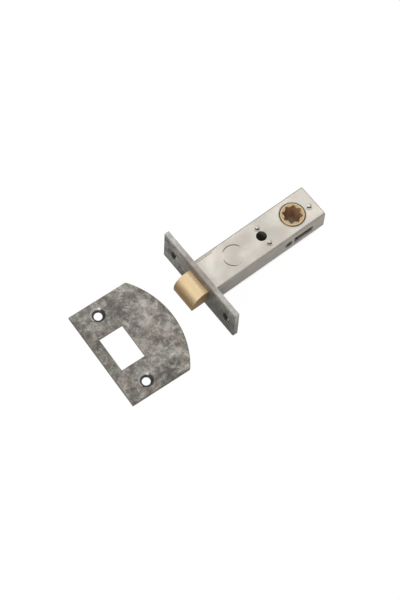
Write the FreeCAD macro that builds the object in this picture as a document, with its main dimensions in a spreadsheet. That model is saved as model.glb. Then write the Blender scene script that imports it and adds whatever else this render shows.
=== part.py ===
import FreeCAD, Part
import math
import os
import Sketcher

# Tubular door latch with its strike plate, in millimetres.
# Origin: centre of the forend's front face, on the axis of the bolt.
# +X runs back along the case, +Y along the forend and +Z out of the case's broad face.
# The latch lies on its broad side with the strike plate flat beside it, its window facing up.

FORMS = (
    ("forend_length", 57.0), ("forend_width", 23.0), ("forend_thickness", 3.0), ("forend_edge", 0.5),
    ("screw_spacing", 42.2), ("screw_hole", 4.4), ("screw_head", 8.4),
    ("case_width", 19.5), ("case_depth", 13.2), ("case_wall", 1.0), ("case_corner", 1.2),
    ("backset", 60.0), ("rear_land", 5.1),
    ("seam_length", 14.0), ("seam_gap", 0.3), ("seam_start", 4.5), ("mark_depth", 0.25),
    ("ring_place", 22.3), ("ring_diameter", 12.0), ("ring_groove", 0.45),
    ("tenon_width", 5.0), ("tenon_gap", 0.03),
    ("window_length", 12.0), ("window_rim", 1.0),
    ("lance_setback", 9.6), ("lance_length", 4.4), ("lance_height", 4.8),
    ("through_setback", 20.0), ("through_hole", 5.6),
    ("rivet_diameter", 2.4), ("rivet_head", 3.0), ("rivet_dome", 0.35), ("rivet_fit", 0.02),
    ("side_rivet_shift", 1.2), ("side_rivet_inset", 2.2), ("rear_rivet_edge", 2.0),
    ("rear_rivet_shift", 1.2),
    ("guide_side", 1.03), ("guide_top", 0.38), ("guide_length", 6.0),
    ("bolt_projection", 9.8), ("bolt_nose", 8.0), ("bolt_tail", 14.0), ("bolt_gap", 0.12),
    ("bolt_travel", 9.4), ("bolt_edge", 0.35),
    ("spring_diameter", 7.4), ("spring_wire", 0.9), ("spring_turns", 10.0), ("spring_gap", 0.4),
    ("spring_seat", 5.0), ("seat_thickness", 0.8),
    ("pin_gap", 0.7), ("pin_clearance", 2.2), ("pin_socket", 3.4), ("pin_edge", 0.6),
    ("saddle_front", 7.0), ("saddle_rear", 4.5), ("saddle_edge", 0.8),
    ("yoke_sheet", 1.1), ("yoke_side_gap", 0.2), ("yoke_edge_gap", 1.4), ("yoke_hook", 2.7),
    ("yoke_bend", 1.2), ("yoke_window_length", 6.8), ("yoke_rivet_depth", 4.0),
    ("hub_gap", 0.15), ("follower_gap", 0.07), ("follower_shoulder", 0.5),
    ("follower_stand", 0.35), ("follower_float", 0.1), ("follower_edge", 0.6), ("spindle", 7.8),
    ("lobe_entry", 0.45), ("lobe_width", 3.0), ("lobe_height", 3.0), ("lobe_lean", 30.0),
    ("lobe_gap", 0.4), ("lobe_play", 0.15),
    ("block_front", 6.2), ("block_gap", 0.6), ("block_play", 0.25),
    ("strike_length", 57.0), ("strike_flat", 34.5), ("strike_lip", 9.5),
    ("strike_thickness", 2.0), ("strike_corner", 1.4), ("strike_edge", 0.3),
    ("strike_window_length", 20.4), ("strike_window_width", 14.1), ("strike_margin", 5.9),
    ("strike_screw_spacing", 42.5), ("strike_screw_head", 8.0), ("strike_window_corner", 0.4),
    ("strike_apart", 7.4), ("strike_shift", 0.0), ("strike_turn", -2.7),
)

# Expressions that several pieces share
CASE_HALF = "(Sizes.case_width / 2)"
INNER_HALF = "(Sizes.case_width / 2 - Sizes.case_wall)"
INNER_DEPTH = "(Sizes.case_depth - 2 * Sizes.case_wall)"
SLOT_HALF = "(" + INNER_HALF + " - Sizes.guide_side)"
SLOT_RISE = "(" + INNER_DEPTH + " / 2 - Sizes.guide_top)"
BOLT_HALF = "(" + SLOT_HALF + " - Sizes.bolt_gap)"
BOLT_RISE = "(" + SLOT_RISE + " - Sizes.bolt_gap)"
SPRING_BORE = "(Sizes.spring_diameter / 2 + Sizes.spring_gap)"
PIN_RADIUS = "(Sizes.spring_diameter / 2 - Sizes.spring_wire - Sizes.pin_gap)"
YOKE_OUTER = "(" + INNER_HALF + " - Sizes.yoke_side_gap)"
YOKE_INNER = "(" + YOKE_OUTER + " - Sizes.yoke_sheet)"
YOKE_RIVET = "((" + SPRING_BORE + " + " + BOLT_HALF + ") / 2)"
BLOCK_HALF = "(" + YOKE_INNER + " - Sizes.block_play)"
RIVET_HOLE = "(Sizes.rivet_diameter / 2 + Sizes.rivet_fit)"
FOLLOWER_BARREL = "(" + YOKE_INNER + " - Sizes.hub_gap)"
FOLLOWER_JOURNAL = "(" + FOLLOWER_BARREL + " - Sizes.follower_shoulder)"
LOBE_TIP = "(" + INNER_HALF + " + Sizes.lobe_entry - Sizes.lobe_width / 2)"
HOLLOW = "(" + FOLLOWER_BARREL + " + Sizes.block_gap)"
CASE_BACK = "(Sizes.backset + " + HOLLOW + " + Sizes.rear_land)"
CASE_LENGTH = "(" + CASE_BACK + " + Sizes.case_wall)"
THROUGH = "(Sizes.backset - Sizes.through_setback)"
SIDE_RIVET_X = "(" + THROUGH + " + Sizes.side_rivet_shift)"
SIDE_RIVET_Y = "(" + BLOCK_HALF + " - Sizes.side_rivet_inset)"
REAR_RIVET = "(Sizes.backset + " + HOLLOW + " + Sizes.rear_rivet_edge)"
SADDLE_FRONT = "(" + THROUGH + " - Sizes.saddle_front)"
SEAT_FACE = "(" + SADDLE_FRONT + " - Sizes.seat_thickness)"
STRIKE_SCREW = "(Sizes.strike_margin + Sizes.strike_window_width / 2)"

doc = FreeCAD.newDocument("TubularLatch")
sheet = doc.addObject("Spreadsheet::Sheet", "Sizes")
for row, (alias, amount) in enumerate(FORMS, 1):
    sheet.set("A%d" % row, alias)
    sheet.set("B%d" % row, "%g" % amount)
    sheet.setAlias("B%d" % row, alias)
doc.recompute()


def amount_of(expression):
    """The present value of an expression on the sheet."""
    return float(sheet.evalExpression(expression))


def new_body(name):
    body = doc.addObject("PartDesign::Body", name)
    body.Label = name
    return body


def place(body, x="0", y="0", z="0"):
    for axis, expression in zip("xyz", (x, y, z)):
        body.setExpression("Placement.Base." + axis, expression)


def new_sketch(body, name, plane, offset=None, turn=None):
    """A sketch on one of the body's own origin planes, set off or turned by an expression."""
    sketch = body.newObject("Sketcher::SketchObject", body.Name + "_" + name)
    support = [item for item in body.Origin.OriginFeatures if item.Role == plane][0]
    sketch.AttachmentSupport = (support, [""])
    sketch.MapMode = "FlatFace"
    if offset:
        sketch.setExpression("AttachmentOffset.Base.z", offset)
    if turn:
        sketch.AttachmentOffset = FreeCAD.Placement(
            FreeCAD.Vector(), FreeCAD.Rotation(FreeCAD.Vector(0, 0, 1), amount_of(turn)))
        sketch.setExpression("AttachmentOffset.Rotation.Angle", turn)
    return sketch


def hold_point(sketch, piece, end, x, y):
    """Holds one end of a sketch line at two expressions from the sketch's origin."""
    for kind, axis, expression in (("DistanceX", -2, x), ("DistanceY", -1, y)):
        if expression == "0":
            sketch.addConstraint(Sketcher.Constraint("PointOnObject", piece, end, axis))
            continue
        amount = amount_of(expression)
        index = sketch.addConstraint(Sketcher.Constraint(kind, -1, 1, piece, end, amount))
        sketch.setExpression("Constraints[%d]" % index, expression)


def outline(sketch, corners):
    """A closed outline. A corner is (x, y), or (x, y, radius) where an arc runs on from it.
    A positive radius bulges to the right of the way along the outline."""
    points = [FreeCAD.Vector(amount_of(c[0]), amount_of(c[1]), 0) for c in corners]
    pieces = []
    for index, corner in enumerate(corners):
        start = points[index]
        end = points[(index + 1) % len(points)]
        if len(corner) == 2:
            pieces.append((sketch.addGeometry(Part.LineSegment(start, end)), 1, 2))
            continue
        radius = amount_of(corner[2].lstrip("-"))
        bulge = -1 if corner[2].startswith("-") else 1
        chord = end - start
        rise = radius - math.sqrt(max(radius ** 2 - (chord.Length / 2) ** 2, 0))
        side = FreeCAD.Vector(chord.y, -chord.x, 0).normalize()
        middle = (start + end) * 0.5 + side * (bulge * rise)
        arc = Part.Arc(start, middle, end)
        piece = sketch.addGeometry(arc)
        first = (sketch.getPoint(piece, 1) - start).Length < (sketch.getPoint(piece, 2) - start).Length
        pieces.append((piece, 1, 2) if first else (piece, 2, 1))
        bound = sketch.addConstraint(Sketcher.Constraint("Radius", piece, radius))
        sketch.setExpression("Constraints[%d]" % bound, corner[2].lstrip("-"))
    for index, corner in enumerate(corners):
        piece, first, last = pieces[index]
        following = pieces[(index + 1) % len(pieces)]
        sketch.addConstraint(Sketcher.Constraint("Coincident", piece, last, following[0], following[1]))
        hold_point(sketch, piece, first, corner[0], corner[1])


def rectangle(sketch, x_low, x_high, y_low, y_high):
    outline(sketch, [(x_low, y_low), (x_high, y_low), (x_high, y_high), (x_low, y_high)])


def circle(sketch, x, y, radius):
    centre = FreeCAD.Vector(amount_of(x), amount_of(y), 0)
    piece = sketch.addGeometry(Part.Circle(centre, FreeCAD.Vector(0, 0, 1), amount_of(radius)))
    bound = sketch.addConstraint(Sketcher.Constraint("Radius", piece, amount_of(radius)))
    sketch.setExpression("Constraints[%d]" % bound, radius)
    hold_point(sketch, piece, 3, x, y)


def extrude(body, kind, sketch, length=None, side="One side", back=False):
    """A pad or pocket of a sketch. With no length, a pocket goes right through."""
    doc.recompute()
    feature = body.newObject("PartDesign::" + kind, sketch.Name + "_" + kind.lower())
    feature.Profile = sketch
    feature.SideType = side
    feature.Reversed = back
    if length is None:
        feature.Type = "ThroughAll"
    else:
        feature.setExpression("Length", length)
    sketch.Visibility = False
    doc.recompute()
    return feature


def dress(body, kind, test, size):
    """A fillet or chamfer on the edges of the body that pass a test on the edge."""
    doc.recompute()
    base = body.Tip
    names = ["Edge%d" % (i + 1) for i, edge in enumerate(base.Shape.Edges) if test(edge)]
    if not names:
        raise RuntimeError("no edge to dress on " + body.Name)
    feature = body.newObject("PartDesign::" + kind, "%s_%s_%d" % (body.Name, kind.lower(), len(body.Group)))
    feature.Base = (base, names)
    feature.setExpression("Radius" if kind == "Fillet" else "Size", size)
    doc.recompute()
    return feature


def turned(body, name, corners, axis="V_Axis"):
    """A full revolution of an outline drawn in the XZ plane."""
    sketch = new_sketch(body, name, "XZ_Plane")
    outline(sketch, corners)
    doc.recompute()
    feature = body.newObject("PartDesign::Revolution", sketch.Name + "_turned")
    feature.Profile = sketch
    feature.ReferenceAxis = (sketch, [axis])
    feature.Angle = 360.0
    doc.recompute()
    return feature


def runs_along(edge, axis):
    """True for a straight edge along the named axis."""
    if edge.Curve.TypeId != "Part::GeomLine":
        return False
    direction = edge.tangentAt(edge.FirstParameter)
    return abs(getattr(direction, axis)) > 0.999


def middle_of(edge):
    return edge.valueAt((edge.FirstParameter + edge.LastParameter) / 2)


def near(amount, target):
    return abs(amount - target) < 0.001


def countersunk_holes(body, name, plane, centres, head, offset=None, back=False):
    """Screw holes with a countersink at the sketch's own plane."""
    sketch = new_sketch(body, name, plane, offset)
    for x, y in centres:
        circle(sketch, x, y, "Sizes.screw_hole / 2")
    doc.recompute()
    hole = body.newObject("PartDesign::Hole", sketch.Name + "_hole")
    hole.Profile = sketch
    hole.Reversed = back
    hole.DepthType = "ThroughAll"
    hole.HoleCutType = "Countersink"
    hole.HoleCutCustomValues = True
    hole.setExpression("Diameter", "Sizes.screw_hole")
    hole.setExpression("HoleCutDiameter", head)
    hole.HoleCutCountersinkAngle = 90.0
    doc.recompute()
    return hole


def forend_plate():
    """Face plate that is let into the door's edge, with the window that the bolt passes through."""
    body = new_body("forend_plate")
    sketch = new_sketch(body, "face", "YZ_Plane")
    rectangle(sketch, "-Sizes.forend_length / 2", "Sizes.forend_length / 2",
              "-Sizes.forend_width / 2", "Sizes.forend_width / 2")
    extrude(body, "Pad", sketch, "Sizes.forend_thickness")
    dress(body, "Chamfer", lambda edge: near(middle_of(edge).x, 0), "Sizes.forend_edge")
    window = new_sketch(body, "window", "YZ_Plane")
    rectangle(window, "-" + SLOT_HALF, SLOT_HALF, "-" + SLOT_RISE, SLOT_RISE)
    tenon_half = "(Sizes.tenon_width / 2 + Sizes.tenon_gap)"
    slot_near = "(%s - Sizes.tenon_gap)" % INNER_HALF
    slot_far = "(%s + Sizes.tenon_gap)" % CASE_HALF
    rectangle(window, slot_near, slot_far, "-" + tenon_half, tenon_half)
    rectangle(window, "-" + slot_far, "-" + slot_near, "-" + tenon_half, tenon_half)
    extrude(body, "Pocket", window, back=True)
    countersunk_holes(body, "screws", "YZ_Plane",
                      [("-Sizes.screw_spacing / 2", "0"), ("Sizes.screw_spacing / 2", "0")],
                      "Sizes.screw_head", back=True)
    return body


def case_shell():
    """Box folded from one blank of sheet, with its tenons staked into the forend."""
    body = new_body("case_shell")
    outer = new_sketch(body, "outer", "YZ_Plane", "Sizes.forend_thickness")
    rectangle(outer, "-" + CASE_HALF, CASE_HALF, "-Sizes.case_depth / 2", "Sizes.case_depth / 2")
    extrude(body, "Pad", outer, CASE_LENGTH + " - Sizes.forend_thickness")
    dress(body, "Fillet", lambda edge: runs_along(edge, "x"), "Sizes.case_corner")
    rear = amount_of(CASE_LENGTH)
    dress(body, "Fillet", lambda edge: near(middle_of(edge).x, rear), "Sizes.case_corner / 2")
    inner = new_sketch(body, "inner", "YZ_Plane", "Sizes.forend_thickness")
    rectangle(inner, "-" + INNER_HALF, INNER_HALF, "-%s / 2" % INNER_DEPTH, "%s / 2" % INNER_DEPTH)
    extrude(body, "Pocket", inner, CASE_BACK + " - Sizes.forend_thickness", back=True)
    tenons = new_sketch(body, "tenons", "YZ_Plane", "Sizes.forend_thickness")
    rectangle(tenons, INNER_HALF, CASE_HALF, "-Sizes.tenon_width / 2", "Sizes.tenon_width / 2")
    rectangle(tenons, "-" + CASE_HALF, "-" + INNER_HALF, "-Sizes.tenon_width / 2", "Sizes.tenon_width / 2")
    extrude(body, "Pad", tenons, "Sizes.forend_thickness - Sizes.tenon_gap", back=True)
    holes = new_sketch(body, "holes", "XY_Plane")
    circle(holes, "Sizes.backset", "0", FOLLOWER_JOURNAL + " + Sizes.follower_gap")
    circle(holes, THROUGH, "0", "Sizes.through_hole / 2")
    circle(holes, SIDE_RIVET_X, SIDE_RIVET_Y, RIVET_HOLE)
    circle(holes, SIDE_RIVET_X, "-" + SIDE_RIVET_Y, RIVET_HOLE)
    circle(holes, REAR_RIVET, "-Sizes.rear_rivet_shift", RIVET_HOLE)
    extrude(body, "Pocket", holes, side="Symmetric")
    windows = new_sketch(body, "windows", "XZ_Plane")
    rise = "(Sizes.lobe_height / 2 + Sizes.window_rim)"
    rectangle(windows, "Sizes.backset - Sizes.window_length / 2", "Sizes.backset + Sizes.window_length / 2",
              "-" + rise, rise)
    lance_front = "Sizes.backset - Sizes.lance_setback - Sizes.lance_length / 2"
    lance_back = lance_front + " + Sizes.lance_length"
    outline(windows, [
        (lance_front, "-Sizes.lance_height / 2"), (lance_back, "-Sizes.lance_height / 8"),
        (lance_back, "Sizes.lance_height / 3")])
    extrude(body, "Pocket", windows, side="Symmetric")
    marks = new_sketch(body, "marks", "XY_Plane", "Sizes.case_depth / 2")
    circle(marks, "Sizes.ring_place", "0", "Sizes.ring_diameter / 2")
    circle(marks, "Sizes.ring_place", "0", "Sizes.ring_diameter / 2 - Sizes.ring_groove")
    rectangle(marks, "Sizes.seam_start", "Sizes.seam_start + Sizes.seam_length",
              INNER_HALF + " - Sizes.seam_gap", INNER_HALF)
    extrude(body, "Pocket", marks, "Sizes.mark_depth")
    return body


def front_guide():
    """Collar inside the mouth of the case that the bolt slides in."""
    body = new_body("front_guide")
    sketch = new_sketch(body, "collar", "YZ_Plane", "Sizes.forend_thickness")
    rectangle(sketch, "-" + INNER_HALF, INNER_HALF, "-%s / 2" % INNER_DEPTH, "%s / 2" % INNER_DEPTH)
    rectangle(sketch, "-" + SLOT_HALF, SLOT_HALF, "-" + SLOT_RISE, SLOT_RISE)
    extrude(body, "Pad", sketch, "Sizes.guide_length")
    return body


def latch_bolt():
    """Brass bolt: a rounded nose on one side, a bore for the spring and two rivet holes behind."""
    body = new_body("latch_bolt")
    nose = new_sketch(body, "side", "XZ_Plane")
    outline(nose, [
        ("-Sizes.bolt_projection", "-" + BOLT_RISE), ("Sizes.bolt_tail", "-" + BOLT_RISE),
        ("Sizes.bolt_tail", BOLT_RISE),
        ("Sizes.bolt_nose - Sizes.bolt_projection", BOLT_RISE, "Sizes.bolt_nose"),
        ("-Sizes.bolt_projection", BOLT_RISE + " - Sizes.bolt_nose")])
    extrude(body, "Pad", nose, "2 * " + BOLT_HALF, side="Symmetric")
    half = amount_of(BOLT_HALF)
    tail = amount_of("Sizes.bolt_tail")
    dress(body, "Fillet",
          lambda edge: near(abs(middle_of(edge).y), half) and not near(middle_of(edge).x, tail),
          "Sizes.bolt_edge")
    bore = new_sketch(body, "bore", "YZ_Plane", "Sizes.bolt_tail")
    circle(bore, "0", "0", SPRING_BORE)
    extrude(body, "Pocket", bore, "Sizes.bolt_tail - Sizes.spring_seat")
    rivets = new_sketch(body, "rivets", "YZ_Plane", "Sizes.bolt_tail")
    for side in ("-", ""):
        circle(rivets, side + YOKE_RIVET, "0", RIVET_HOLE)
    extrude(body, "Pocket", rivets, "Sizes.yoke_rivet_depth")
    return body


def retractor_yoke():
    """U of sheet steel behind the bolt. The follower's lobes work in the windows of its arms."""
    body = new_body("retractor_yoke")
    plan = new_sketch(body, "plan", "XY_Plane")
    web_back = "(Sizes.bolt_tail + Sizes.yoke_sheet)"
    window_rear = "(Sizes.backset - %s * sin(Sizes.lobe_lean) + Sizes.lobe_width / 2 + Sizes.lobe_play)"
    window_rear = window_rear % LOBE_TIP
    arm_end = "(" + window_rear + " + Sizes.yoke_hook)"
    outline(plan, [
        ("Sizes.bolt_tail", "-" + YOKE_OUTER), (arm_end, "-" + YOKE_OUTER),
        (arm_end, "-" + YOKE_INNER), (web_back, "-" + YOKE_INNER),
        (web_back, YOKE_INNER), (arm_end, YOKE_INNER),
        (arm_end, YOKE_OUTER), ("Sizes.bolt_tail", YOKE_OUTER)])
    extrude(body, "Pad", plan, INNER_DEPTH + " - 2 * Sizes.yoke_edge_gap", side="Symmetric")
    tail = amount_of("Sizes.bolt_tail")
    dress(body, "Fillet",
          lambda edge: runs_along(edge, "z") and near(middle_of(edge).x, tail), "Sizes.yoke_bend")
    windows = new_sketch(body, "windows", "XZ_Plane")
    rise = "(Sizes.lobe_height / 2 + Sizes.lobe_gap)"
    rectangle(windows, window_rear + " - Sizes.yoke_window_length", window_rear, "-" + rise, rise)
    extrude(body, "Pocket", windows, side="Symmetric")
    holes = new_sketch(body, "holes", "YZ_Plane")
    circle(holes, "0", "0", SPRING_BORE)
    for side in ("-", ""):
        circle(holes, side + YOKE_RIVET, "0", RIVET_HOLE)
    extrude(body, "Pocket", holes, back=True)
    return body


def yoke_rivet(name, side):
    """Rivet that holds the yoke's web to the tail of the bolt."""
    body = new_body(name)
    head_top = "(Sizes.yoke_sheet + Sizes.rivet_dome)"
    turned(body, "rivet", [
        ("0", "-Sizes.yoke_rivet_depth"), ("Sizes.rivet_diameter / 2", "-Sizes.yoke_rivet_depth"),
        ("Sizes.rivet_diameter / 2", "Sizes.yoke_sheet"), ("Sizes.rivet_head / 2", "Sizes.yoke_sheet"),
        ("Sizes.rivet_diameter / 2", head_top), ("0", head_top)])
    body.Placement = FreeCAD.Placement(FreeCAD.Vector(), FreeCAD.Rotation(FreeCAD.Vector(0, 1, 0), 90))
    place(body, "Sizes.bolt_tail", side + YOKE_RIVET)
    return body


def case_rivet(name, x, y):
    """Rivet through the case and the block inside it, domed on both broad faces."""
    body = new_body(name)
    face = "(Sizes.case_depth / 2)"
    tip = "(Sizes.case_depth / 2 + Sizes.rivet_dome)"
    dome = "((Sizes.rivet_head / 2) ^ 2 + Sizes.rivet_dome ^ 2) / (2 * Sizes.rivet_dome)"
    turned(body, "rivet", [
        ("0", "-" + tip, dome),
        ("Sizes.rivet_head / 2", "-" + face), ("Sizes.rivet_diameter / 2", "-" + face),
        ("Sizes.rivet_diameter / 2", face), ("Sizes.rivet_head / 2", face, dome), ("0", tip)])
    place(body, x, y)
    return body


def saddle_block():
    """Block that keeps the broad walls apart round the hole for the furniture's fixing bolt."""
    body = new_body("saddle_block")
    plan = new_sketch(body, "plan", "XY_Plane")
    rectangle(plan, SADDLE_FRONT, THROUGH + " + Sizes.saddle_rear", "-" + BLOCK_HALF, BLOCK_HALF)
    circle(plan, THROUGH, "0", "Sizes.through_hole / 2")
    for side in ("-", ""):
        circle(plan, SIDE_RIVET_X, side + SIDE_RIVET_Y, RIVET_HOLE)
    extrude(body, "Pad", plan, INNER_DEPTH, side="Symmetric")
    half = amount_of(BLOCK_HALF)
    dress(body, "Chamfer",
          lambda edge: runs_along(edge, "z") and near(abs(middle_of(edge).y), half), "Sizes.saddle_edge")
    socket = new_sketch(body, "socket", "YZ_Plane", SADDLE_FRONT)
    circle(socket, "0", "0", PIN_RADIUS)
    extrude(body, "Pocket", socket, "Sizes.pin_socket", back=True)
    return body


def guide_pin():
    """Pin pressed into the saddle block that keeps the spring straight."""
    body = new_body("guide_pin")
    front = "(Sizes.spring_seat + Sizes.bolt_travel + Sizes.pin_clearance)"
    rear = "(" + SADDLE_FRONT + " + Sizes.pin_socket)"
    turned(body, "pin", [
        (front, "0"), (rear, "0"), (rear, PIN_RADIUS), (front + " + Sizes.pin_edge", PIN_RADIUS),
        (front, PIN_RADIUS + " - Sizes.pin_edge")], "H_Axis")
    return body


def spring_washer():
    """Washer on the guide pin that the spring bears on."""
    body = new_body("spring_washer")
    sketch = new_sketch(body, "ring", "YZ_Plane", SEAT_FACE)
    circle(sketch, "0", "0", SPRING_BORE)
    circle(sketch, "0", "0", PIN_RADIUS + " + Sizes.rivet_fit")
    extrude(body, "Pad", sketch, "Sizes.seat_thickness")
    return body


def rear_block():
    """Block that closes the end of the case behind the follower."""
    body = new_body("rear_block")
    front = "(Sizes.backset + Sizes.block_front)"
    cheek = "sqrt(%s ^ 2 - Sizes.block_front ^ 2)" % HOLLOW
    plan = new_sketch(body, "plan", "XY_Plane")
    outline(plan, [
        (front, "-" + BLOCK_HALF), (CASE_BACK, "-" + BLOCK_HALF), (CASE_BACK, BLOCK_HALF),
        (front, BLOCK_HALF), (front, cheek, "-" + HOLLOW), (front, "-" + cheek)])
    circle(plan, REAR_RIVET, "-Sizes.rear_rivet_shift", RIVET_HOLE)
    extrude(body, "Pad", plan, INNER_DEPTH, side="Symmetric")
    return body


def follower_hub():
    """Brass follower: an eight-pointed spindle hole, two journals and two lobes for the yoke."""
    body = new_body("follower_hub")
    barrel = new_sketch(body, "barrel", "XY_Plane")
    circle(barrel, "0", "0", FOLLOWER_BARREL)
    extrude(body, "Pad", barrel, INNER_DEPTH + " - 2 * Sizes.follower_float", side="Symmetric")
    journal = new_sketch(body, "journal", "XY_Plane")
    circle(journal, "0", "0", FOLLOWER_JOURNAL)
    height = "(Sizes.case_depth + 2 * Sizes.follower_stand)"
    extrude(body, "Pad", journal, height, side="Symmetric")
    top = amount_of(height + " / 2")
    dress(body, "Chamfer", lambda edge: near(abs(middle_of(edge).z), top), "Sizes.follower_edge")
    lean = "-90 - Sizes.lobe_lean"
    finger = new_sketch(body, "finger", "XY_Plane", turn=lean)
    rectangle(finger, "0", LOBE_TIP, "-Sizes.lobe_width / 2", "Sizes.lobe_width / 2")
    finger_end = new_sketch(body, "finger_end", "XY_Plane", turn=lean)
    circle(finger_end, LOBE_TIP, "0", "Sizes.lobe_width / 2")
    lobe = [extrude(body, "Pad", sketch, "Sizes.lobe_height", side="Symmetric")
            for sketch in (finger, finger_end)]
    mirror = body.newObject("PartDesign::Mirrored", "follower_hub_second_lobe")
    mirror.Originals = lobe
    plane = [item for item in body.Origin.OriginFeatures if item.Role == "XZ_Plane"][0]
    mirror.MirrorPlane = (plane, [""])
    body.Tip = mirror
    doc.recompute()
    for name, turn in (("square", None), ("diamond", "45")):
        hole = new_sketch(body, name, "XY_Plane", turn=turn)
        rectangle(hole, "-Sizes.spindle / 2", "Sizes.spindle / 2", "-Sizes.spindle / 2", "Sizes.spindle / 2")
        extrude(body, "Pocket", hole, side="Symmetric")
    place(body, "Sizes.backset")
    return body


def bolt_spring():
    """Compression spring between the bolt's bore and the washer, with its end turns at rest on both."""
    radius = amount_of("Sizes.spring_diameter / 2 - Sizes.spring_wire / 2")
    wire = amount_of("Sizes.spring_wire / 2")
    front = amount_of("Sizes.spring_seat + Sizes.spring_wire / 2")
    rear = amount_of("%s - Sizes.spring_wire / 2" % SEAT_FACE)
    turns = amount_of("Sizes.spring_turns")
    coil = Part.makeHelix((rear - front) / turns, rear - front, radius)
    section = Part.Wire(Part.makeCircle(wire, FreeCAD.Vector(radius, 0, 0), FreeCAD.Vector(0, 1, 0)))
    shape = Part.Wire(coil).makePipeShell([section], True, True)
    spring = doc.addObject("Part::Feature", "bolt_spring")
    spring.Label = "bolt_spring"
    spring.Shape = shape
    spring.Placement = FreeCAD.Placement(
        FreeCAD.Vector(front, 0, 0), FreeCAD.Rotation(FreeCAD.Vector(0, 1, 0), 90))
    return spring


def strike_plate():
    """Plate for the door frame, with a rounded lip, a window for the bolt and two screw holes."""
    body = new_body("strike_plate")
    plan = new_sketch(body, "plan", "XY_Plane")
    lip = "((Sizes.strike_length / 2) ^ 2 + Sizes.strike_lip ^ 2) / (2 * Sizes.strike_lip)"
    outline(plan, [
        ("0", "-Sizes.strike_length / 2"),
        ("Sizes.strike_flat", "-Sizes.strike_length / 2", lip),
        ("Sizes.strike_flat", "Sizes.strike_length / 2"),
        ("0", "Sizes.strike_length / 2")])
    extrude(body, "Pad", plan, "Sizes.strike_thickness")
    flat = amount_of("Sizes.strike_flat")
    dress(body, "Fillet",
          lambda edge: runs_along(edge, "z") and near(middle_of(edge).x, flat), "Sizes.strike_corner")
    top = amount_of("Sizes.strike_thickness")
    dress(body, "Fillet", lambda edge: near(middle_of(edge).z, top), "Sizes.strike_edge")
    window = new_sketch(body, "window", "XY_Plane")
    rectangle(window, "Sizes.strike_margin", "Sizes.strike_margin + Sizes.strike_window_width",
              "-Sizes.strike_window_length / 2", "Sizes.strike_window_length / 2")
    extrude(body, "Pocket", window, back=True)
    edge_of_window = amount_of("Sizes.strike_window_length / 2")
    dress(body, "Fillet",
          lambda edge: runs_along(edge, "z") and near(abs(middle_of(edge).y), edge_of_window),
          "Sizes.strike_window_corner")
    countersunk_holes(body, "screws", "XY_Plane",
                      [(STRIKE_SCREW, "-Sizes.strike_screw_spacing / 2"),
                       (STRIKE_SCREW, "Sizes.strike_screw_spacing / 2")],
                      "Sizes.strike_screw_head", offset="Sizes.strike_thickness")
    body.Placement = FreeCAD.Placement(
        FreeCAD.Vector(), FreeCAD.Rotation(FreeCAD.Vector(0, 0, 1), amount_of("Sizes.strike_turn")))
    body.setExpression("Placement.Rotation.Angle", "Sizes.strike_turn")
    distance = "Sizes.strike_flat + Sizes.strike_lip + Sizes.strike_apart + Sizes.bolt_projection"
    place(body, "-(%s)" % distance, "Sizes.strike_shift", "-Sizes.forend_width / 2")
    return body


pieces = [
    forend_plate(),
    case_shell(),
    front_guide(),
    latch_bolt(),
    retractor_yoke(),
    yoke_rivet("yoke_rivet_left", "-"),
    yoke_rivet("yoke_rivet_right", ""),
    case_rivet("case_rivet_left", SIDE_RIVET_X, "-" + SIDE_RIVET_Y),
    case_rivet("case_rivet_right", SIDE_RIVET_X, SIDE_RIVET_Y),
    case_rivet("case_rivet_rear", REAR_RIVET, "-Sizes.rear_rivet_shift"),
    saddle_block(),
    guide_pin(),
    spring_washer(),
    rear_block(),
    follower_hub(),
    bolt_spring(),
    strike_plate(),
]
doc.recompute()

faults = [item.Name for item in doc.Objects if "Invalid" in item.State or "Error" in item.State]
for piece in pieces:
    if piece.Shape.isNull() or not piece.Shape.isValid() or len(piece.Shape.Solids) != 1:
        faults.append(piece.Label)
if faults:
    raise RuntimeError("faulty: " + ", ".join(faults))

os.makedirs("parts", exist_ok=True)
for piece in pieces:
    piece.Shape.exportStep("parts/%s.step" % piece.Label)
    print("%-18s %9.2f mm3" % (piece.Label, piece.Shape.Volume))
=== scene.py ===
import math

import bmesh
import bpy
from mathutils import Matrix, Vector


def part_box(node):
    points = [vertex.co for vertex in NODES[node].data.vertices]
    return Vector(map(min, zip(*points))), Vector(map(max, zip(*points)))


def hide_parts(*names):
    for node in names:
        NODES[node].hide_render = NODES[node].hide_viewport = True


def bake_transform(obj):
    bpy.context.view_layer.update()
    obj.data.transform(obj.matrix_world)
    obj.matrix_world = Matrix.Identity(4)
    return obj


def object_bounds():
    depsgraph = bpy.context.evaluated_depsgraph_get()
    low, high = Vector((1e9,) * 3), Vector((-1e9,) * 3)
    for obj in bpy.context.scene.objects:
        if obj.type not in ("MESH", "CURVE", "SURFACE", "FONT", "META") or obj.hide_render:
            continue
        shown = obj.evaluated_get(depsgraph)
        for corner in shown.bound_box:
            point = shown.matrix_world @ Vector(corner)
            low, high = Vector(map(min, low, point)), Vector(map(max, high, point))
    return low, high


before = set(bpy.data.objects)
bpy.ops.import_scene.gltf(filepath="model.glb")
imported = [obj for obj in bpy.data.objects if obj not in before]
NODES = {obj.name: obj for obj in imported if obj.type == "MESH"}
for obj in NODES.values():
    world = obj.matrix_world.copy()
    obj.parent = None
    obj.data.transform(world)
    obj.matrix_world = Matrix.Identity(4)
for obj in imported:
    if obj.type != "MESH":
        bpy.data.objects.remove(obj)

CAD_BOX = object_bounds()

# Camera: the photograph's viewing angle, as a place, the point it looks at, and its roll
CAMERA_PLACE = (-0.2793, -0.3138, 0.9069)
CAMERA_AIM = (-0.0043, -0.0069, 0.0)
CAMERA_ROLL = 4.3
CAMERA_LENS = 120.0
SENSOR = 36.0

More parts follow.
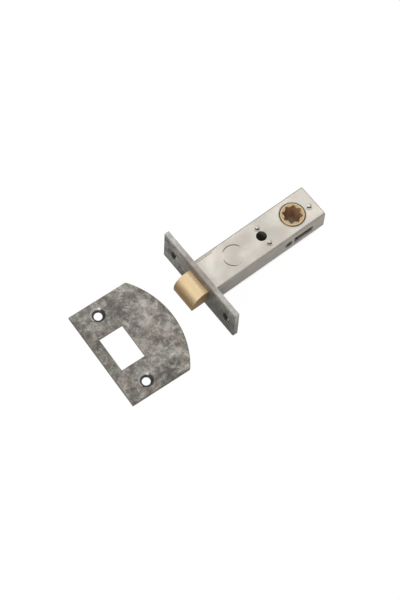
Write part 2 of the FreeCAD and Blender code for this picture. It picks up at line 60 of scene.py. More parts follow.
# Studio
FLOOR_SIZE = 3.0
FLOOR_DROP = 0.00002                 # from the lowest point of the part down to the floor
# Painted shade on the floor under the case: its middle, half sizes and soft edge
SHADE_MIDDLE = (0.040, 0.0025)       # the dark stretch of floor that the case shuts in
SHADE_HALF = (0.0300, 0.0060)
SHADE_EDGE = 0.0052
LIGHT_SIDE = (0.30, 0.40, 0.87)      # the side that the light comes from, above and behind
SKY_LOW = 0.11
SKY_HIGH = 0.53
WHITE = (1.0, 1.0, 1.0, 1.0)

# Places on the part that the finishes and the spring are tied to
STRIKE_HOLES = ((-0.04726, 0.02062, 0.0), (-0.04926, -0.02184, 0.0))
FOREND_SCREW = 0.0211                # from the middle of the forend to each screw hole
RING_PLACE = (0.0223, 0.0, 0.0)
RING_RADIUS = 0.0058
HUB_PLACE = (0.06, 0.0, 0.0)
RIVETS = ((0.0412, 0.005, 0.0), (0.0412, -0.005, 0.0), (0.0699, -0.0012, 0.0))
LANCE_PLACE = (0.0504, -0.0095, 0.0002)      # on the near side of the case, dark round its cut
SPRING_WIRE = 0.00045                # radius of the wire
SPRING_TURNS = 10.0

# Inputs of the arc marks: a spread below -1 takes in the whole circle
ALL_ROUND = -3.0
BACKWARD = (0.0, 1.0, 0.0)
FLAT = (1.0, 1.0, 0.0)               # drops the height from a vector


# Small tools for building node trees

def new_node(tree, kind, **settings):
    node = tree.nodes.new(kind)
    for name, value in settings.items():
        setattr(node, name, value)
    return node


def link(tree, source, target):
    tree.links.new(source, target)


def new_material(name):
    material = bpy.data.materials.new(name)
    material.use_nodes = True
    tree = material.node_tree
    tree.nodes.clear()
    output = new_node(tree, "ShaderNodeOutputMaterial")
    shader = new_node(tree, "ShaderNodeBsdfPrincipled")
    link(tree, shader.outputs["BSDF"], output.inputs["Surface"])
    return material, tree, shader


def noise(tree, vector, scale, detail=4.0, roughness=0.55, distortion=0.0):
    node = new_node(tree, "ShaderNodeTexNoise")
    node.inputs["Scale"].default_value = scale
    node.inputs["Detail"].default_value = detail
    node.inputs["Roughness"].default_value = roughness
    node.inputs["Distortion"].default_value = distortion
    link(tree, vector, node.inputs["Vector"])
    return node.outputs["Fac"]


def ramp(tree, value, stops):
    node = new_node(tree, "ShaderNodeValToRGB")
    elements = node.color_ramp.elements
    while len(elements) < len(stops):
        elements.new(0.5)
    for element, (position, colour) in zip(elements, stops):
        element.position = position
        element.color = colour if len(colour) == 4 else (*colour, 1.0)
    link(tree, value, node.inputs["Fac"])
    return node.outputs["Color"]


def feed(tree, value, socket):
    """Sets a socket to a fixed value, or links another socket to it."""
    if isinstance(value, bpy.types.NodeSocket):
        link(tree, value, socket)
    else:
        socket.default_value = value


def mix_colour(tree, factor, first, second, blend="MIX"):
    node = new_node(tree, "ShaderNodeMix", data_type="RGBA", blend_type=blend)
    for value, place in ((factor, 0), (first, 6), (second, 7)):      # a mix node's colour sockets
        feed(tree, value, node.inputs[place])
    return node.outputs[2]


def map_range(tree, value, low, high, to_low=0.0, to_high=1.0):
    node = new_node(tree, "ShaderNodeMapRange")
    for name, amount in (("From Min", low), ("From Max", high), ("To Min", to_low), ("To Max", to_high)):
        node.inputs[name].default_value = amount
    link(tree, value, node.inputs["Value"])
    return node.outputs["Result"]


def math_node(tree, operation, *values):
    node = new_node(tree, "ShaderNodeMath", operation=operation)
    for value, socket in zip(values, node.inputs):
        feed(tree, value, socket)
    return node.outputs[0]


def vector_math(tree, operation, *values):
    """Gives the node's outputs: Vector, or Value for a length, a distance or a dot product."""
    node = new_node(tree, "ShaderNodeVectorMath", operation=operation)
    for value, socket in zip(values, node.inputs):
        feed(tree, value, socket)
    return node.outputs


def parts_of(tree, vector):
    """X, Y and Z of a vector."""
    node = new_node(tree, "ShaderNodeSeparateXYZ")
    link(tree, vector, node.inputs[0])
    return node.outputs


def facing_parts(tree):
    """X, Y and Z of the way that the surface faces."""
    return parts_of(tree, new_node(tree, "ShaderNodeTexCoord").outputs["Normal"])


def strongest(tree, masks):
    """The highest of several masks."""
    highest = masks[0]
    for mask in masks[1:]:
        highest = math_node(tree, "MAXIMUM", highest, mask)
    return highest


def bump(tree, height, strength, distance):
    node = new_node(tree, "ShaderNodeBump")
    node.inputs["Strength"].default_value = strength
    node.inputs["Distance"].default_value = distance
    link(tree, height, node.inputs["Height"])
    return node.outputs["Normal"]


def object_coordinates(tree, scale=(1.0, 1.0, 1.0), location=(0.0, 0.0, 0.0)):
    coordinates = new_node(tree, "ShaderNodeTexCoord")
    mapping = new_node(tree, "ShaderNodeMapping")
    mapping.inputs["Scale"].default_value = scale
    mapping.inputs["Location"].default_value = location
    link(tree, coordinates.outputs["Object"], mapping.inputs["Vector"])
    return mapping.outputs["Vector"]


# Shader groups that several finishes share

def group_socket(group, name, way, kind, value=None):
    socket = group.interface.new_socket(name=name, in_out=way, socket_type=kind)
    if value is not None:
        socket.default_value = value


def new_group(name, inputs, outputs):
    """An empty shader group with its named inputs and outputs, and its two end nodes."""
    group = bpy.data.node_groups.new(name, "ShaderNodeTree")
    for label, kind, value in inputs:
        group_socket(group, label, "INPUT", kind, value)
    for label, kind in outputs:
        group_socket(group, label, "OUTPUT", kind)
    return group, new_node(group, "NodeGroupInput"), new_node(group, "NodeGroupOutput")


def handling_group():
    """Fine scratches in three directions, and soft smudges."""
    group, entry, leave = new_group(
        "handling",
        (("Vector", "NodeSocketVector", None), ("Scratch Scale", "NodeSocketFloat", 400.0),
         ("Smudge Scale", "NodeSocketFloat", 60.0)),
        (("Scratches", "NodeSocketFloat"), ("Smudges", "NodeSocketFloat")))
    scratches = None
    for angle, stretch in ((0.35, 14.0), (-0.9, 18.0), (1.35, 11.0)):
        mapping = new_node(group, "ShaderNodeMapping")
        mapping.inputs["Rotation"].default_value = (0.3 * angle, 0.2, angle)
        mapping.inputs["Scale"].default_value = (1.0, stretch, 1.0)
        link(group, entry.outputs["Vector"], mapping.inputs["Vector"])
        field = new_node(group, "ShaderNodeTexNoise")
        field.inputs["Detail"].default_value = 1.0
        link(group, mapping.outputs["Vector"], field.inputs["Vector"])
        link(group, entry.outputs["Scratch Scale"], field.inputs["Scale"])
        line = map_range(group, field.outputs["Fac"], 0.66, 0.74)
        scratches = line if scratches is None else math_node(group, "MAXIMUM", scratches, line)
    smudge = new_node(group, "ShaderNodeTexNoise")
    smudge.inputs["Detail"].default_value = 3.0
    smudge.inputs["Distortion"].default_value = 0.6
    link(group, entry.outputs["Vector"], smudge.inputs["Vector"])
    link(group, entry.outputs["Smudge Scale"], smudge.inputs["Scale"])
    link(group, scratches, leave.inputs["Scratches"])
    link(group, map_range(group, smudge.outputs["Fac"], 0.35, 0.7), leave.inputs["Smudges"])
    return group


def edge_wear_group():
    """How near a point is to an outer edge, broken up by noise as rubbing would leave it."""
    group, entry, leave = new_group(
        "edge_wear",
        (("Vector", "NodeSocketVector", None), ("Radius", "NodeSocketFloat", 0.0006),
         ("Break Up", "NodeSocketFloat", 500.0)),
        (("Edge", "NodeSocketFloat"),))
    bevel = new_node(group, "ShaderNodeBevel", samples=6)
    link(group, entry.outputs["Radius"], bevel.inputs["Radius"])
    geometry = new_node(group, "ShaderNodeNewGeometry")
    meet = vector_math(group, "DOT_PRODUCT", bevel.outputs["Normal"], geometry.outputs["Normal"])
    edge = map_range(group, meet["Value"], 0.995, 0.88)
    field = new_node(group, "ShaderNodeTexNoise")
    field.inputs["Detail"].default_value = 3.0
    link(group, entry.outputs["Vector"], field.inputs["Vector"])
    link(group, entry.outputs["Break Up"], field.inputs["Scale"])
    broken = map_range(group, field.outputs["Fac"], 0.3, 0.6, 0.35, 1.0)
    link(group, math_node(group, "MULTIPLY", edge, broken), leave.inputs["Edge"])
    return group


def arc_mark_group():
    """A soft arc round a centre on the broad face: its radius, width, facing and spread are inputs."""
    group, entry, leave = new_group(
        "arc_mark",
        (("Vector", "NodeSocketVector", None), ("Centre", "NodeSocketVector", (0.0, 0.0, 0.0)),
         ("Radius", "NodeSocketFloat", 0.006), ("Width", "NodeSocketFloat", 0.0004),
         ("Facing", "NodeSocketVector", BACKWARD), ("Spread", "NodeSocketFloat", 0.0)),
        (("Mask", "NodeSocketFloat"),))
    flat = vector_math(group, "MULTIPLY", entry.outputs["Vector"], FLAT)["Vector"]
    arm = vector_math(group, "SUBTRACT", flat, entry.outputs["Centre"])["Vector"]
    reach = vector_math(group, "LENGTH", arm)["Value"]
    away = math_node(group, "ABSOLUTE", math_node(group, "SUBTRACT", reach, entry.outputs["Radius"]))
    band = math_node(group, "SUBTRACT", 1.0, math_node(group, "DIVIDE", away, entry.outputs["Width"]))
    way = vector_math(group, "NORMALIZE", arm)["Vector"]
    side = vector_math(group, "DOT_PRODUCT", way, entry.outputs["Facing"])["Value"]
    turn = math_node(group, "SUBTRACT", side, entry.outputs["Spread"])
    mask = math_node(group, "MULTIPLY", map_range(group, band, 0.0, 0.6), map_range(group, turn, 0.0, 0.25))
    link(group, mask, leave.inputs["Mask"])
    return group


def use_group(tree, group, vector, **values):
    node = new_node(tree, "ShaderNodeGroup", node_tree=group)
    link(tree, vector, node.inputs["Vector"])
    for name, value in values.items():
        node.inputs[name.replace("_", " ")].default_value = value
    return node


# Finishes

def lighter(colour, factor):
    """A colour made lighter, or darker by a factor below 1."""
    return (*(min(channel * factor, 1.0) for channel in colour), 1.0)


def scratched(tree, marks, base, colour, strength):
    """Lays the scratches of a handling group over a colour."""
    mask = math_node(tree, "MULTIPLY", marks.outputs["Scratches"], strength)
    return mix_colour(tree, mask, base, colour)


def rubbed_and_lit_edges(tree, groups, vector, base, colour, strength, radius, break_up):
    """Lays a brighter colour on the outer edges, as wear and as a painted edge highlight."""
    wear = use_group(tree, groups["edge_wear"], vector, Radius=radius, Break_Up=break_up)
    return mix_colour(tree, math_node(tree, "MULTIPLY", wear.outputs["Edge"], strength), base, colour)


def arc_mask(tree, groups, vector, centre, radius, width, facing, spread, strength):
    arc = use_group(tree, groups["arc_mark"], vector, Centre=centre, Radius=radius, Width=width,
                    Facing=facing, Spread=spread)
    return math_node(tree, "MULTIPLY", arc.outputs["Mask"], strength)


def spot_mask(tree, vector, place, reach, core, strength):
    """Full within a share of the reach from a place, and nothing past the reach."""
    away = vector_math(tree, "DISTANCE", vector, place)["Value"]
    return map_range(tree, away, reach, reach * core, 0.0, strength)


def aged_nickel(name, tone, groups, painted_light_facings, arcs=(), spots=(), painted_light_slope=1.0):
    """Nickel plate that was tumbled and aged: grey and brown clouds, rubbed edges, dark countersinks, and
    painted light and shade.

    A facing is painted light: an axis, two values of the normal along it, a strength and how much lighter
    it gets. An arc ends in its strength and how much lighter it is. A spot is its place, reach, strength
    and colour. Arcs and spots paint shade and highlights round holes; the painted light slope is a painted
    light gradient that makes the plate lighter toward the latch.
    """
    material, tree, shader = new_material(name)
    vector = object_coordinates(tree)
    clouds = noise(tree, vector, 95.0, 8.0, 0.68)
    patches = noise(tree, object_coordinates(tree, location=(0.2, 0.5, 0.1)), 300.0, 8.0, 0.70, 0.3)
    tint = noise(tree, object_coordinates(tree, location=(0.3, 0.1, 0.2)), 160.0, 4.0)
    grit = noise(tree, object_coordinates(tree, location=(0.7, 0.1, 0.4)), 1300.0, 3.0, 0.6)
    base = ramp(tree, clouds, [(0.36, lighter(tone, 0.55)), (0.50, tone), (0.63, lighter(tone, 1.65))])
    base = mix_colour(tree, map_range(tree, patches, 0.50, 0.64, 0.0, 0.75), base, lighter(tone, 1.75))
    base = mix_colour(tree, map_range(tree, patches, 0.48, 0.36, 0.0, 0.7), base, lighter(tone, 0.48))
    base = mix_colour(tree, map_range(tree, tint, 0.48, 0.60), base, (1.0, 0.955, 0.915, 1.0), "MULTIPLY")
    base = mix_colour(tree, map_range(tree, tint, 0.48, 0.38), base, (0.95, 1.0, 0.95, 1.0), "MULTIPLY")
    base = mix_colour(tree, 1.0, base, map_range(tree, grit, 0.35, 0.65, 0.80, 1.20), "MULTIPLY")
    # Painted light: a gradient along X that makes the plate lighter toward the latch
    shade = map_range(tree, parts_of(tree, vector)["X"], -0.062, -0.028, 1 / painted_light_slope, painted_light_slope)
    base = mix_colour(tree, 1.0, base, shade, "MULTIPLY")
    facing = facing_parts(tree)
    # Painted light: faces turned along an axis are made lighter
    for axis, low, high, strength, factor in painted_light_facings:
        facing_light = map_range(tree, facing[axis], low, high, 0.0, strength)
        base = mix_colour(tree, facing_light, base, lighter(tone, factor))
    marks = use_group(tree, groups["handling"], vector, Scratch_Scale=520.0, Smudge_Scale=120.0)
    base = scratched(tree, marks, base, lighter(tone, 2.2), 0.25)
    base = rubbed_and_lit_edges(tree, groups, vector, base, lighter(tone, 2.0), 0.45, 0.0007, 600.0)
    for *arc, factor in arcs:
        base = mix_colour(tree, arc_mask(tree, groups, vector, *arc), base, lighter(tone, factor))
    for place, reach, strength, colour in spots:
        base = mix_colour(tree, spot_mask(tree, vector, place, reach, 0.6, strength), base, (*colour, 1.0))
    link(tree, base, shader.inputs["Base Color"])
    shader.inputs["Metallic"].default_value = 0.8
    link(tree, map_range(tree, patches, 0.3, 0.7, 0.55, 0.38), shader.inputs["Roughness"])
    dents = noise(tree, vector, 700.0, 3.0, 0.6)
    height = math_node(tree, "ADD", dents, math_node(tree, "MULTIPLY", clouds, 1.6))
    link(tree, bump(tree, height, 0.35, 0.0002), shader.inputs["Normal"])
    return material


def line_mask(tree, parts, x_low, x_high, y_middle, y_half, strength):
    """A soft line along X on the broad face."""
    half = (x_high - x_low) / 2
    along = math_node(tree, "ABSOLUTE", math_node(tree, "SUBTRACT", parts["X"], (x_low + x_high) / 2))
    across = math_node(tree, "ABSOLUTE", math_node(tree, "SUBTRACT", parts["Y"], y_middle))
    return math_node(tree, "MULTIPLY", map_range(tree, along, half, half - 0.0006),
                     map_range(tree, across, y_half, y_half * 0.4, 0.0, strength))


def zinc_sheet(name, colour, groups, arcs, lines=(), spots=()):
    """Satin zinc plate on rolled sheet, with painted shade in the arcs round stamped marks, gaps and
    rivets, a dark seam line and dark spots, rubbed folds brightened by a painted highlight, and dark ends
    to the tenons."""
    material, tree, shader = new_material(name)
    vector = object_coordinates(tree)
    grain = noise(tree, object_coordinates(tree, scale=(0.06, 1.0, 1.0)), 2600.0, 2.0)
    cloud = noise(tree, vector, 75.0, 4.0, 0.55, 0.5)
    tint = noise(tree, object_coordinates(tree, location=(0.4, 0.2, 0.0)), 140.0, 2.0)
    base = mix_colour(tree, map_range(tree, cloud, 0.38, 0.64), lighter(colour, 1.03),
                      lighter(colour, 0.90))
    base = mix_colour(tree, map_range(tree, tint, 0.42, 0.58), base, (1.0, 0.965, 0.95, 1.0), "MULTIPLY")
    marks = use_group(tree, groups["handling"], vector, Scratch_Scale=300.0, Smudge_Scale=70.0)
    base = scratched(tree, marks, base, lighter(colour, 1.25), 0.18)
    # The folds get a painted highlight along them as well as their wear
    base = rubbed_and_lit_edges(tree, groups, vector, base, lighter(colour, 1.35), 0.8, 0.0005, 400.0)
    parts = parts_of(tree, vector)
    # Painted shade on the shaded sides of the arcs, with the dark seam line along the top
    arc_shade_and_seam = strongest(tree, [arc_mask(tree, groups, vector, *arc) for arc in arcs]
                        + [line_mask(tree, parts, *line) for line in lines])
    upper = map_range(tree, parts["Z"], 0.0056, 0.0060)
    shade_and_dark_marks = strongest(tree, [math_node(tree, "MULTIPLY", arc_shade_and_seam, upper)]
                     + [spot_mask(tree, vector, place, reach, 0.65, 0.95) for place, reach in spots])
    # Near black where the mask says: painted shade in the arcs, the dark seam and the dark spots
    base = mix_colour(tree, shade_and_dark_marks, base, (0.035, 0.030, 0.024, 1.0))
    tenon_end = map_range(tree, parts["X"], 0.0014, 0.0008, 0.0, 0.9)
    base = mix_colour(tree, tenon_end, base, (0.13, 0.125, 0.115, 1.0))
    link(tree, base, shader.inputs["Base Color"])
    shader.inputs["Metallic"].default_value = 0.6
    link(tree, map_range(tree, marks.outputs["Smudges"], 0.0, 1.0, 0.38, 0.5), shader.inputs["Roughness"])
    link(tree, bump(tree, grain, 0.2, 0.00004), shader.inputs["Normal"])
    return material


def satin_brass(name, colour, patch_colour, grain_scale, groups, patch_mask, rims=()):
    """Brass with fine drawn lines, brighter edges, rings round its hole, and a patch colour where a mask
    says.
    """
    material, tree, shader = new_material(name)
    vector = object_coordinates(tree)
    grain = noise(tree, object_coordinates(tree, scale=grain_scale), 3000.0, 2.0)
    marks = use_group(tree, groups["handling"], vector, Scratch_Scale=450.0, Smudge_Scale=90.0)
    base = mix_colour(tree, math_node(tree, "MULTIPLY", marks.outputs["Smudges"], 0.4),
                      lighter(colour, 1.0), lighter(colour, 0.85))
    # The patch is painted shade and brown on the bolt, and painted light in the follower's hole
    base = mix_colour(tree, patch_mask(tree, vector), base, (*patch_colour, 1.0))
    # The bright rim ring is a painted highlight
    for radius, width, strength, shade in rims:
        ring = arc_mask(tree, groups, vector, HUB_PLACE, radius, width, BACKWARD, ALL_ROUND, strength)
        base = mix_colour(tree, ring, base, (*shade, 1.0))
    base = rubbed_and_lit_edges(tree, groups, vector, base, lighter(colour, 1.2), 0.4, 0.0004, 500.0)
    link(tree, base, shader.inputs["Base Color"])
    shader.inputs["Metallic"].default_value = 0.65
    link(tree, map_range(tree, grain, 0.3, 0.7, 0.44, 0.54), shader.inputs["Roughness"])
    link(tree, bump(tree, grain, 0.12, 0.00003), shader.inputs["Normal"])
    return material


def nose_brown_and_side_shade(tree, vector):
    """Darker brown toward the tip of the bolt, and painted shade on its flat side that faces -Y."""
    ragged = math_node(tree, "MULTIPLY", noise(tree, vector, 500.0, 3.0), 0.0008)
    place = math_node(tree, "SUBTRACT", parts_of(tree, vector)["X"], ragged)
    tip = map_range(tree, place, -0.0072, -0.0100, 0.0, 0.85)
    # Painted shade on the flat side that faces -Y
    side = map_range(tree, facing_parts(tree)["Y"], -0.6, -0.9, 0.0, 0.8)
    return math_node(tree, "MAXIMUM", tip, side)


def hole_painted_light(tree, vector):
    """Painted light inside the follower's spindle hole: a paler brown on its walls."""
    arm = vector_math(tree, "SUBTRACT", vector, HUB_PLACE)["Vector"]
    height = math_node(tree, "ABSOLUTE", parts_of(tree, arm)["Z"])
    reach = vector_math(tree, "LENGTH", vector_math(tree, "MULTIPLY", arm, FLAT)["Vector"])["Value"]
    inside = math_node(tree, "MULTIPLY", map_range(tree, height, 0.00692, 0.00670),
                       map_range(tree, reach, 0.0057, 0.0056))
    return math_node(tree, "MULTIPLY", inside, 0.95)


def plain_steel(name, colour, roughness, metallic=0.9):
    """Oiled steel with a faint mottle, for what is inside the case."""
    material, tree, shader = new_material(name)
    cloud = noise(tree, object_coordinates(tree), 220.0, 3.0)
    link(tree, mix_colour(tree, cloud, lighter(colour, 0.7), lighter(colour, 1.0)),
         shader.inputs["Base Color"])
    shader.inputs["Metallic"].default_value = metallic
    link(tree, map_range(tree, cloud, 0.3, 0.7, roughness - 0.06, roughness + 0.08),
         shader.inputs["Roughness"])
    link(tree, bump(tree, cloud, 0.2, 0.00005), shader.inputs["Normal"])
    return material


def moulded_plastic(name):
    material, tree, shader = new_material(name)
    cloud = noise(tree, object_coordinates(tree), 900.0, 2.0)
    link(tree, mix_colour(tree, cloud, (0.015, 0.015, 0.015, 1.0), (0.03, 0.03, 0.03, 1.0)),
         shader.inputs["Base Color"])
    shader.inputs["Roughness"].default_value = 0.5
    link(tree, bump(tree, cloud, 0.2, 0.00003), shader.inputs["Normal"])
    return material


def floor_finish():
    """White floor that shows as white to the camera and to gloss, keeps a soft shadow, and has a painted
    shade, dark brown, where the case shuts it in."""
    material = bpy.data.materials.new("studio_floor")
    material.use_nodes = True
    tree = material.node_tree
    tree.nodes.clear()
    output = new_node(tree, "ShaderNodeOutputMaterial")
    diffuse = new_node(tree, "ShaderNodeBsdfDiffuse")
    diffuse.inputs["Color"].default_value = (0.62, 0.61, 0.60, 1.0)
    glow = new_node(tree, "ShaderNodeEmission")
    start = object_coordinates(tree, FLAT, (-SHADE_MIDDLE[0], -SHADE_MIDDLE[1], 0.0))
    arm = vector_math(tree, "ABSOLUTE", start)["Vector"]
    past = vector_math(tree, "SUBTRACT", arm, (*SHADE_HALF, 0.0))["Vector"]
    outside = vector_math(tree, "MAXIMUM", past, (0.0, 0.0, 0.0))["Vector"]
    reach = vector_math(tree, "LENGTH", outside)["Value"]
    # Painted shade: dark brown under the case, fading to white at its edge
    shade = ramp(tree, map_range(tree, reach, 0.0, SHADE_EDGE),
                 [(0.0, (0.11, 0.078, 0.056)), (0.3, (0.27, 0.25, 0.235)), (1.0, WHITE)])
    link(tree, shade, glow.inputs["Color"])
    glow.inputs["Strength"].default_value = 1.06
    path = new_node(tree, "ShaderNodeLightPath")
    direct = math_node(tree, "MAXIMUM", path.outputs["Is Camera Ray"], path.outputs["Is Transmission Ray"])
    seen = math_node(tree, "MAXIMUM", math_node(tree, "MULTIPLY", direct, 0.92),
                     math_node(tree, "MULTIPLY", path.outputs["Is Glossy Ray"], 0.2))
    mixer = new_node(tree, "ShaderNodeMixShader")
    link(tree, seen, mixer.inputs[0])
    link(tree, diffuse.outputs[0], mixer.inputs[1])
    link(tree, glow.outputs[0], mixer.inputs[2])
    link(tree, mixer.outputs[0], output.inputs["Surface"])
    return material


# Pieces

def paint(name, material):
    """Gives a CAD node its finish."""
    for slot in NODES[name].material_slots:
        slot.material = material


def make_floor():
    half = FLOOR_SIZE / 2
    level = CAD_BOX[0].z - FLOOR_DROP
    corners = [(-half, -half, level), (half, -half, level), (half, half, level), (-half, half, level)]
    mesh = bpy.data.meshes.new("floor")
    mesh.from_pydata(corners, [], [(0, 1, 2, 3)])
    floor = bpy.data.objects.new("floor", mesh)
    bpy.context.scene.collection.objects.link(floor)
    mesh.materials.append(floor_finish())


def spring_tree():
    """Geometry nodes for a round wire coiled along X; its sizes are the tree's inputs."""
    tree = bpy.data.node_groups.new("coil_spring", "GeometryNodeTree")
    group_socket(tree, "Geometry", "OUTPUT", "NodeSocketGeometry")
    for label in ("Front", "Length", "Coil Radius", "Wire Radius", "Turns"):
        group_socket(tree, label, "INPUT", "NodeSocketFloat")
    group_socket(tree, "Finish", "INPUT", "NodeSocketMaterial")
    entry, leave = new_node(tree, "NodeGroupInput"), new_node(tree, "NodeGroupOutput")
    coil = new_node(tree, "GeometryNodeCurveSpiral")
    coil.inputs["Resolution"].default_value = 48
    link(tree, entry.outputs["Turns"], coil.inputs["Rotations"])
    link(tree, entry.outputs["Coil Radius"], coil.inputs["Start Radius"])
    link(tree, entry.outputs["Coil Radius"], coil.inputs["End Radius"])
    link(tree, entry.outputs["Length"], coil.inputs["Height"])
    place = new_node(tree, "ShaderNodeCombineXYZ")
    link(tree, entry.outputs["Front"], place.inputs["X"])
    lay = new_node(tree, "GeometryNodeTransform")
    lay.inputs["Rotation"].default_value = (0.0, math.pi / 2, 0.0)
    link(tree, coil.outputs["Curve"], lay.inputs["Geometry"])
    link(tree, place.outputs["Vector"], lay.inputs["Translation"])
    wire = new_node(tree, "GeometryNodeCurvePrimitiveCircle")
    wire.inputs["Resolution"].default_value = 14
    link(tree, entry.outputs["Wire Radius"], wire.inputs["Radius"])
    sweep = new_node(tree, "GeometryNodeCurveToMesh")
    sweep.inputs["Fill Caps"].default_value = True
    link(tree, lay.outputs["Geometry"], sweep.inputs["Curve"])
    link(tree, wire.outputs["Curve"], sweep.inputs["Profile Curve"])
    real = new_node(tree, "GeometryNodeRealizeInstances")
    link(tree, sweep.outputs["Mesh"], real.inputs["Geometry"])
    finish = new_node(tree, "GeometryNodeSetMaterial")
    link(tree, real.outputs["Geometry"], finish.inputs["Geometry"])
    link(tree, entry.outputs["Finish"], finish.inputs["Material"])
    link(tree, finish.outputs["Geometry"], leave.inputs["Geometry"])
    return tree


def make_spring(finish):
    """The return spring that the bolt presses against, coiled between the same ends as the CAD one."""
    low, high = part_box("bolt_spring")
    wire = SPRING_WIRE
    sizes = {"Front": low.x + wire, "Length": high.x - low.x - 2 * wire, "Coil Radius": high.y - wire,
             "Wire Radius": wire, "Turns": SPRING_TURNS, "Finish": finish}
    maker = bpy.data.objects.new("spring_maker", bpy.data.meshes.new("spring_maker"))
    bpy.context.scene.collection.objects.link(maker)
    modifier = maker.modifiers.new("coil", "NODES")
    tree = spring_tree()
    modifier.node_group = tree
    for item in tree.interface.items_tree:
        if item.in_out == "INPUT":
            modifier[item.identifier] = sizes[item.name]
    made = maker.evaluated_get(bpy.context.evaluated_depsgraph_get())
    mesh = bpy.data.meshes.new_from_object(made)
    bpy.data.objects.remove(maker)
    form = bmesh.new()
    form.from_mesh(mesh)
    bmesh.ops.recalc_face_normals(form, faces=form.faces)
    form.to_mesh(mesh)
    form.free()
    mesh.shade_smooth()
    spring = bpy.data.objects.new("return_spring", mesh)
    bpy.context.scene.collection.objects.link(spring)
    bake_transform(spring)
    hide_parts("bolt_spring")


def make_world():
    """Soft studio light that is brightest above and behind the latch; the camera sees plain white."""
    world = bpy.data.worlds.new("studio")
    world.use_nodes = True
    bpy.context.scene.world = world
    tree = world.node_tree
    tree.nodes.clear()
    output = new_node(tree, "ShaderNodeOutputWorld")
    coordinates = new_node(tree, "ShaderNodeTexCoord")
    side = tuple(Vector(LIGHT_SIDE).normalized())
    toward = vector_math(tree, "DOT_PRODUCT", coordinates.outputs["Generated"], side)
    plain = new_node(tree, "ShaderNodeBackground")
    plain.inputs["Color"].default_value = (1.0, 0.99, 0.97, 1.0)
    link(tree, map_range(tree, toward["Value"], -0.2, 0.95, SKY_LOW, SKY_HIGH),
         plain.inputs["Strength"])
    seen = new_node(tree, "ShaderNodeBackground")
    seen.inputs["Color"].default_value = WHITE
    path = new_node(tree, "ShaderNodeLightPath")
    mixer = new_node(tree, "ShaderNodeMixShader")
    link(tree, path.outputs["Is Camera Ray"], mixer.inputs[0])
    link(tree, plain.outputs[0], mixer.inputs[1])
    link(tree, seen.outputs[0], mixer.inputs[2])
    link(tree, mixer.outputs[0], output.inputs["Surface"])


def area_light(name, place, target, size, power, colour):
    data = bpy.data.lights.new(name, "AREA")
    data.shape = "RECTANGLE"
    data.size, data.size_y = size
    data.energy = power
    data.color = colour
    light = bpy.data.objects.new(name, data)
    light.location = place
    light.rotation_euler = (Vector(target) - Vector(place)).to_track_quat("-Z", "Y").to_euler()
    bpy.context.scene.collection.objects.link(light)


def make_lights():
    area_light("key", (0.25, 0.45, 0.80), (0, 0, 0), (0.6, 0.6), 1.9, (1.0, 0.99, 0.97))
    area_light("fill", (-0.45, -0.12, 0.45), (0, 0, 0), (0.4, 0.4), 1.7, (1.0, 0.97, 0.93))


def make_camera():
    data = bpy.data.cameras.new("camera")
    data.sensor_width = SENSOR
    data.lens = CAMERA_LENS
    data.clip_start = 0.01
    camera = bpy.data.objects.new("camera", data)
    look = (Vector(CAMERA_AIM) - Vector(CAMERA_PLACE)).normalized()
    turn = look.to_track_quat("-Z", "Y").to_matrix().to_4x4()
    roll = Matrix.Rotation(math.radians(CAMERA_ROLL), 4, "Z")
    camera.matrix_world = Matrix.Translation(CAMERA_PLACE) @ turn @ roll
    bpy.context.scene.collection.objects.link(camera)
    bpy.context.scene.camera = camera


def strike_finish(groups):
    """Each countersunk hole has a dark wall of painted shade and patina, a dark throat and a painted
    highlight on its far wall.
    """
    hole_shade_and_highlight = []
    for centre in STRIKE_HOLES:
        # Painted shade on the near wall, a dark throat, and a painted highlight on the far wall
        hole_shade_and_highlight += [(centre, 0.0028, 0.0014, (0.42, -0.91, 0.0), -0.75, 0.85, 0.22),
                  (centre, 0.0025, 0.0007, BACKWARD, ALL_ROUND, 0.6, 0.35),
                  (centre, 0.0036, 0.0006, (-0.45, 0.89, 0.0), 0.0, 1.0, 6.0)]
    # The facing paints light on the plate's edge faces, which face sideways
    return aged_nickel("aged_nickel_plate", (0.215, 0.203, 0.189), groups,
                       [("Z", 0.5, 0.3, 0.7, 1.6)], arcs=hole_shade_and_highlight, painted_light_slope=1.12)


def forend_finish(groups):
    """A brown cloud and a grey painted shade on the face, and in each screw hole a dark throat of painted
    shade and a painted highlight on its wall.
    """
    # The grey spot is painted shade on the lower end of the face toward -Y
    spots = [((0.0, 0.001, 0.010), 0.016, 0.5, (0.24, 0.19, 0.165)),
             ((0.0, -0.020, -0.007), 0.0165, 0.55, (0.11, 0.108, 0.10))]
    for y in (-FOREND_SCREW, FOREND_SCREW):
        # Painted shade in each screw hole's throat and a painted highlight on its lower wall
        spots += [((0.0015, y + 0.0002, -0.0026), 0.0025, 0.95, (0.03, 0.028, 0.025)),
                  ((0.0013, y - 0.0019, -0.0024), 0.0011, 0.9, (0.62, 0.60, 0.56))]
    # Painted light on the top edge and on the end that faces -Y
    return aged_nickel("aged_nickel_forend", (0.255, 0.25, 0.24), groups,
                       [("Z", 0.4, 0.8, 0.8, 1.85), ("Y", -0.8, -0.95, 0.85, 2.4)], spots=spots)


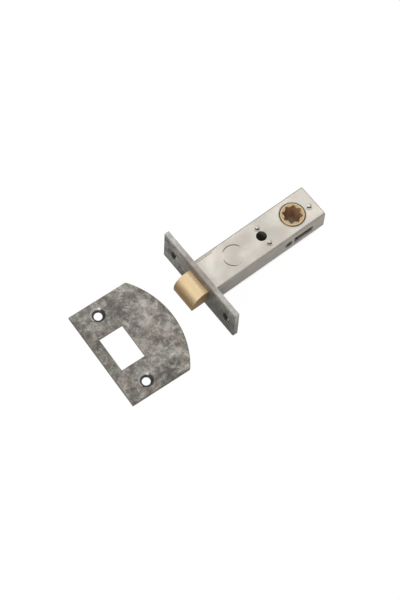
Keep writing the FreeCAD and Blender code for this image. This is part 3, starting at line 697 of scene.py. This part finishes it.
def case_finishes(groups):
    """Finishes of the case and of its rivets, with painted shade in the ring, round the hub and beside the
    rivets.
    """
    up, down, near = (0.25, 0.89, 0.0), (-0.80, -0.46, 0.0), (-0.60, -0.79, 0.0)
    # Painted shade: dark arcs on the shaded sides of the stamped ring, in the gap round the hub, and by
    # each rivet
    arcs = [(RING_PLACE, RING_RADIUS, 0.0004, up, 0.5, 0.8),
            (RING_PLACE, RING_RADIUS, 0.0004, down, 0.6, 0.7),
            (HUB_PLACE, 0.0070, 0.0005, up, ALL_ROUND, 0.3)]
    arcs += [(place, 0.0021, 0.0004, near, 0.55, 0.45) for place in RIVETS]
    sheet = zinc_sheet("zinc_sheet", (0.66, 0.635, 0.585), groups, arcs,
                       [(0.0045, 0.0150, 0.0080, 0.0003, 0.6)], [(LANCE_PLACE, 0.0027)])
    # Painted shade on the near side of each rivet head
    rivet = zinc_sheet("rivet_zinc", (0.74, 0.71, 0.65), groups,
                       [(place, 0.0014, 0.0008, near, 0.3, 1.0) for place in RIVETS])
    return sheet, rivet


def brass_finishes(groups):
    """Finishes of the bolt and of the follower, which has a dark ring and a ring of painted highlight round
    its hole.
    """
    bolt = satin_brass("bolt_brass", (0.96, 0.76, 0.47), (0.42, 0.26, 0.12), (1.0, 0.05, 1.0), groups,
                       nose_brown_and_side_shade)
    # The paler brown in the follower's hole is painted light on its walls
    hub = satin_brass("follower_brass", (0.54, 0.40, 0.23), (0.75, 0.52, 0.36), (1.0, 1.0, 0.2), groups,
                      hole_painted_light, [(0.0067, 0.0007, 0.85, (0.20, 0.14, 0.06)),
                                     (0.0060, 0.0004, 0.6, (0.85, 0.68, 0.42))])
    return bolt, hub


def finish_nodes():
    groups = {"handling": handling_group(), "edge_wear": edge_wear_group(), "arc_mark": arc_mark_group()}
    sheet, rivet = case_finishes(groups)
    bolt, hub = brass_finishes(groups)
    inner = plain_steel("dark_steel", (0.21, 0.215, 0.17), 0.5, 0.3)
    oiled = plain_steel("oiled_steel", (0.20, 0.18, 0.16), 0.35)
    finishes = (
        (strike_finish(groups), ("strike_plate",)),
        (forend_finish(groups), ("forend_plate",)),
        (sheet, ("case_shell",)),
        (rivet, ("case_rivet_left", "case_rivet_right", "case_rivet_rear")),
        (bolt, ("latch_bolt",)),
        (hub, ("follower_hub",)),
        (moulded_plastic("guide_acetal"), ("front_guide",)),
        (inner, ("saddle_block", "rear_block")),
        (oiled, ("retractor_yoke", "yoke_rivet_left", "yoke_rivet_right", "guide_pin", "spring_washer")))
    for material, names in finishes:
        for name in names:
            paint(name, material)
    make_spring(oiled)


finish_nodes()
make_floor()
make_world()
make_lights()
make_camera()
bpy.context.scene.view_settings.view_transform = "Standard"
